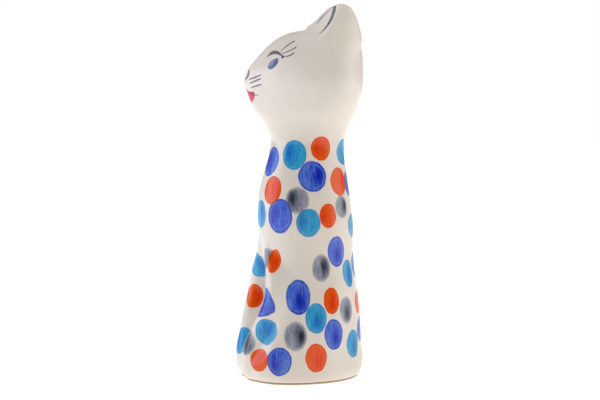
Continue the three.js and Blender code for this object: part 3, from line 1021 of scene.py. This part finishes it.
# %% Put the finishes on the pieces
STANDS_FOR = {
    "torso": ("torso_shell", glazed),
    "head": ("head_shell", glazed),
    "left_ear": ("left_ear", glazed),
    "right_ear": ("right_ear", glazed),
    "left_foreleg": ("left_foreleg", glazed),
    "right_foreleg": ("right_foreleg", glazed),
    "wiped_foot": ("foot_ring", bare),
}
for name, (node, material) in STANDS_FOR.items():
    cat[name].data.materials.append(material)
    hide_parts(node)
floor_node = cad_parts["base_floor"]
floor_node.material_slots[0].material = bare
print("finishes:", sorted({m.name for _, m in STANDS_FOR.values()}))

# %% [markdown]
# ## The studio
#
# A white sweep, a white surround, and three large soft boxes: one on each side and one high above.
# The side that faces the camera gets the least light, so the body looks round: bright at both edges
# and a little darker and warmer in the middle. The paper has a painted glow, an emission that is
# fainter near the cat and stronger further out, so it stays white where the boxes don't reach it,
# and the glow lights the cat from below as well.

# %% Floor, surround, lights and camera
CAMERA_TURN, CAMERA_UP, CAMERA_AWAY, LOOK_UP, LENS = 72, 155, 700, 86, 86.8
SWEEP_METRES = 1.6
FAR_SURROUND, NEAR_SURROUND = 0.42, 0.0
GLOW_NEAR, GLOW_FAR, GLOW_FROM, GLOW_TO = 0.58, 0.95, 0.3, 1.2  # strengths, then metres

bm = bmesh.new()
bmesh.ops.create_grid(bm, x_segments=2, y_segments=2, size=SWEEP_METRES)
sweep_mesh = bpy.data.meshes.new("white_sweep")
bm.to_mesh(sweep_mesh)
bm.free()
sweep = bpy.data.objects.new("white_sweep", sweep_mesh)
bpy.context.scene.collection.objects.link(sweep)
paper = bpy.data.materials.new("white paper with painted glow")
paper.use_nodes = True
shader = paper.node_tree.nodes["Principled BSDF"]
shader.inputs["Base Color"].default_value = linear("#F6F6F5")
shader.inputs["Roughness"].default_value = 0.9
shader.inputs["Specular IOR Level"].default_value = 0.1
shader.inputs["Emission Color"].default_value = linear("#FFFFFF")
# Painted glow: the paper's emission is fainter near the cat and stronger further out, and it lights
# the cat from below as well as whitening the floor.
on_paper = add(paper.node_tree, "ShaderNodeTexCoord").outputs["Object"]
from_cat = add(paper.node_tree, VECTOR, {0: on_paper}, operation="LENGTH").outputs["Value"]
paper_glow = add(
    paper.node_tree, RANGE, {0: from_cat, 1: GLOW_FROM, 2: GLOW_TO, 3: GLOW_NEAR, 4: GLOW_FAR},
    interpolation_type="SMOOTHSTEP",
).outputs[0]
paper.node_tree.links.new(paper_glow, shader.inputs["Emission Strength"])
sweep_mesh.materials.append(paper)
sweep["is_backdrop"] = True

world = bpy.data.worlds.new("white surround")
bpy.context.scene.world = world
world.use_nodes = True
turn = math.radians(CAMERA_TURN)
toward_camera = Vector((math.sin(turn), -math.cos(turn), 0))
to_right = Vector((math.cos(turn), math.sin(turn), 0))

tree = world.node_tree
surround = tree.nodes["Background"]
way_out = add(tree, "ShaderNodeTexCoord").outputs["Generated"]
near_side = add(
    tree, VECTOR, {0: way_out, 1: toward_camera}, operation="DOT_PRODUCT"
).outputs["Value"]
glow = add(tree, RANGE, {0: near_side, 1: -0.6, 2: 0.5, 3: FAR_SURROUND, 4: NEAR_SURROUND})
tree.links.new(glow.outputs[0], surround.inputs["Strength"])
surround.inputs["Color"].default_value = linear("#FFFFFF")
seen = add(tree, "ShaderNodeBackground", {"Color": linear("#FFFFFF"), "Strength": 1.0})
seen_directly = add(tree, "ShaderNodeLightPath").outputs["Is Camera Ray"]
both = add(
    tree, "ShaderNodeMixShader", {0: seen_directly, 1: surround.outputs[0], 2: seen.outputs[0]}
)
tree.links.new(both.outputs[0], tree.nodes["World Output"].inputs["Surface"])


def soft_box(name, place, size, power, hex_code):
    """A square area light that faces the middle of the cat."""
    light = bpy.data.lights.new(name, "AREA")
    light.size, light.energy = size, power
    light.color = linear(hex_code)[:3]
    lamp = bpy.data.objects.new(name, light)
    lamp.location = place
    lamp.rotation_euler = (Vector((0, 0, 0.09)) - place).to_track_quat("-Z", "Y").to_euler()
    bpy.context.scene.collection.objects.link(lamp)


up = Vector((0, 0, 1))
soft_box("left soft box", -to_right * 0.87 + toward_camera * 0.05 + up * 0.1, 0.7, 5.2, "#E0EAFF")
soft_box("right soft box", to_right * 0.8 + toward_camera * 0.1 + up * 0.08, 0.7, 2.8, "#FFFEFB")
soft_box("top soft box", up * 3.0 + toward_camera * 0.5, 2.5, 54, "#FFFFFF")

camera = bpy.data.objects.new("camera", bpy.data.cameras.new("camera"))
camera.data.lens = LENS
camera.location = toward_camera * CAMERA_AWAY * MM + Vector((0, 0, CAMERA_UP * MM))
look = Vector((0, 0, LOOK_UP * MM)) - camera.location
camera.rotation_euler = look.to_track_quat("-Z", "Y").to_euler()
bpy.context.scene.collection.objects.link(camera)
bpy.context.scene.camera = camera
bpy.context.scene.view_settings.view_transform = "Standard"
print("camera is", round(look.length, 3), "m away")

# %% [markdown]
# ## The size
#
# The finished cat has to fill the box of the engineering model. Both boxes are printed.

# %% Print both boxes and finish
sizes = {"cad": cad_box, "visual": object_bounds()}
sizes = {name: [[round(float(v), 6) for v in corner] for corner in box] for name, box in sizes.items()}
print(sizes)
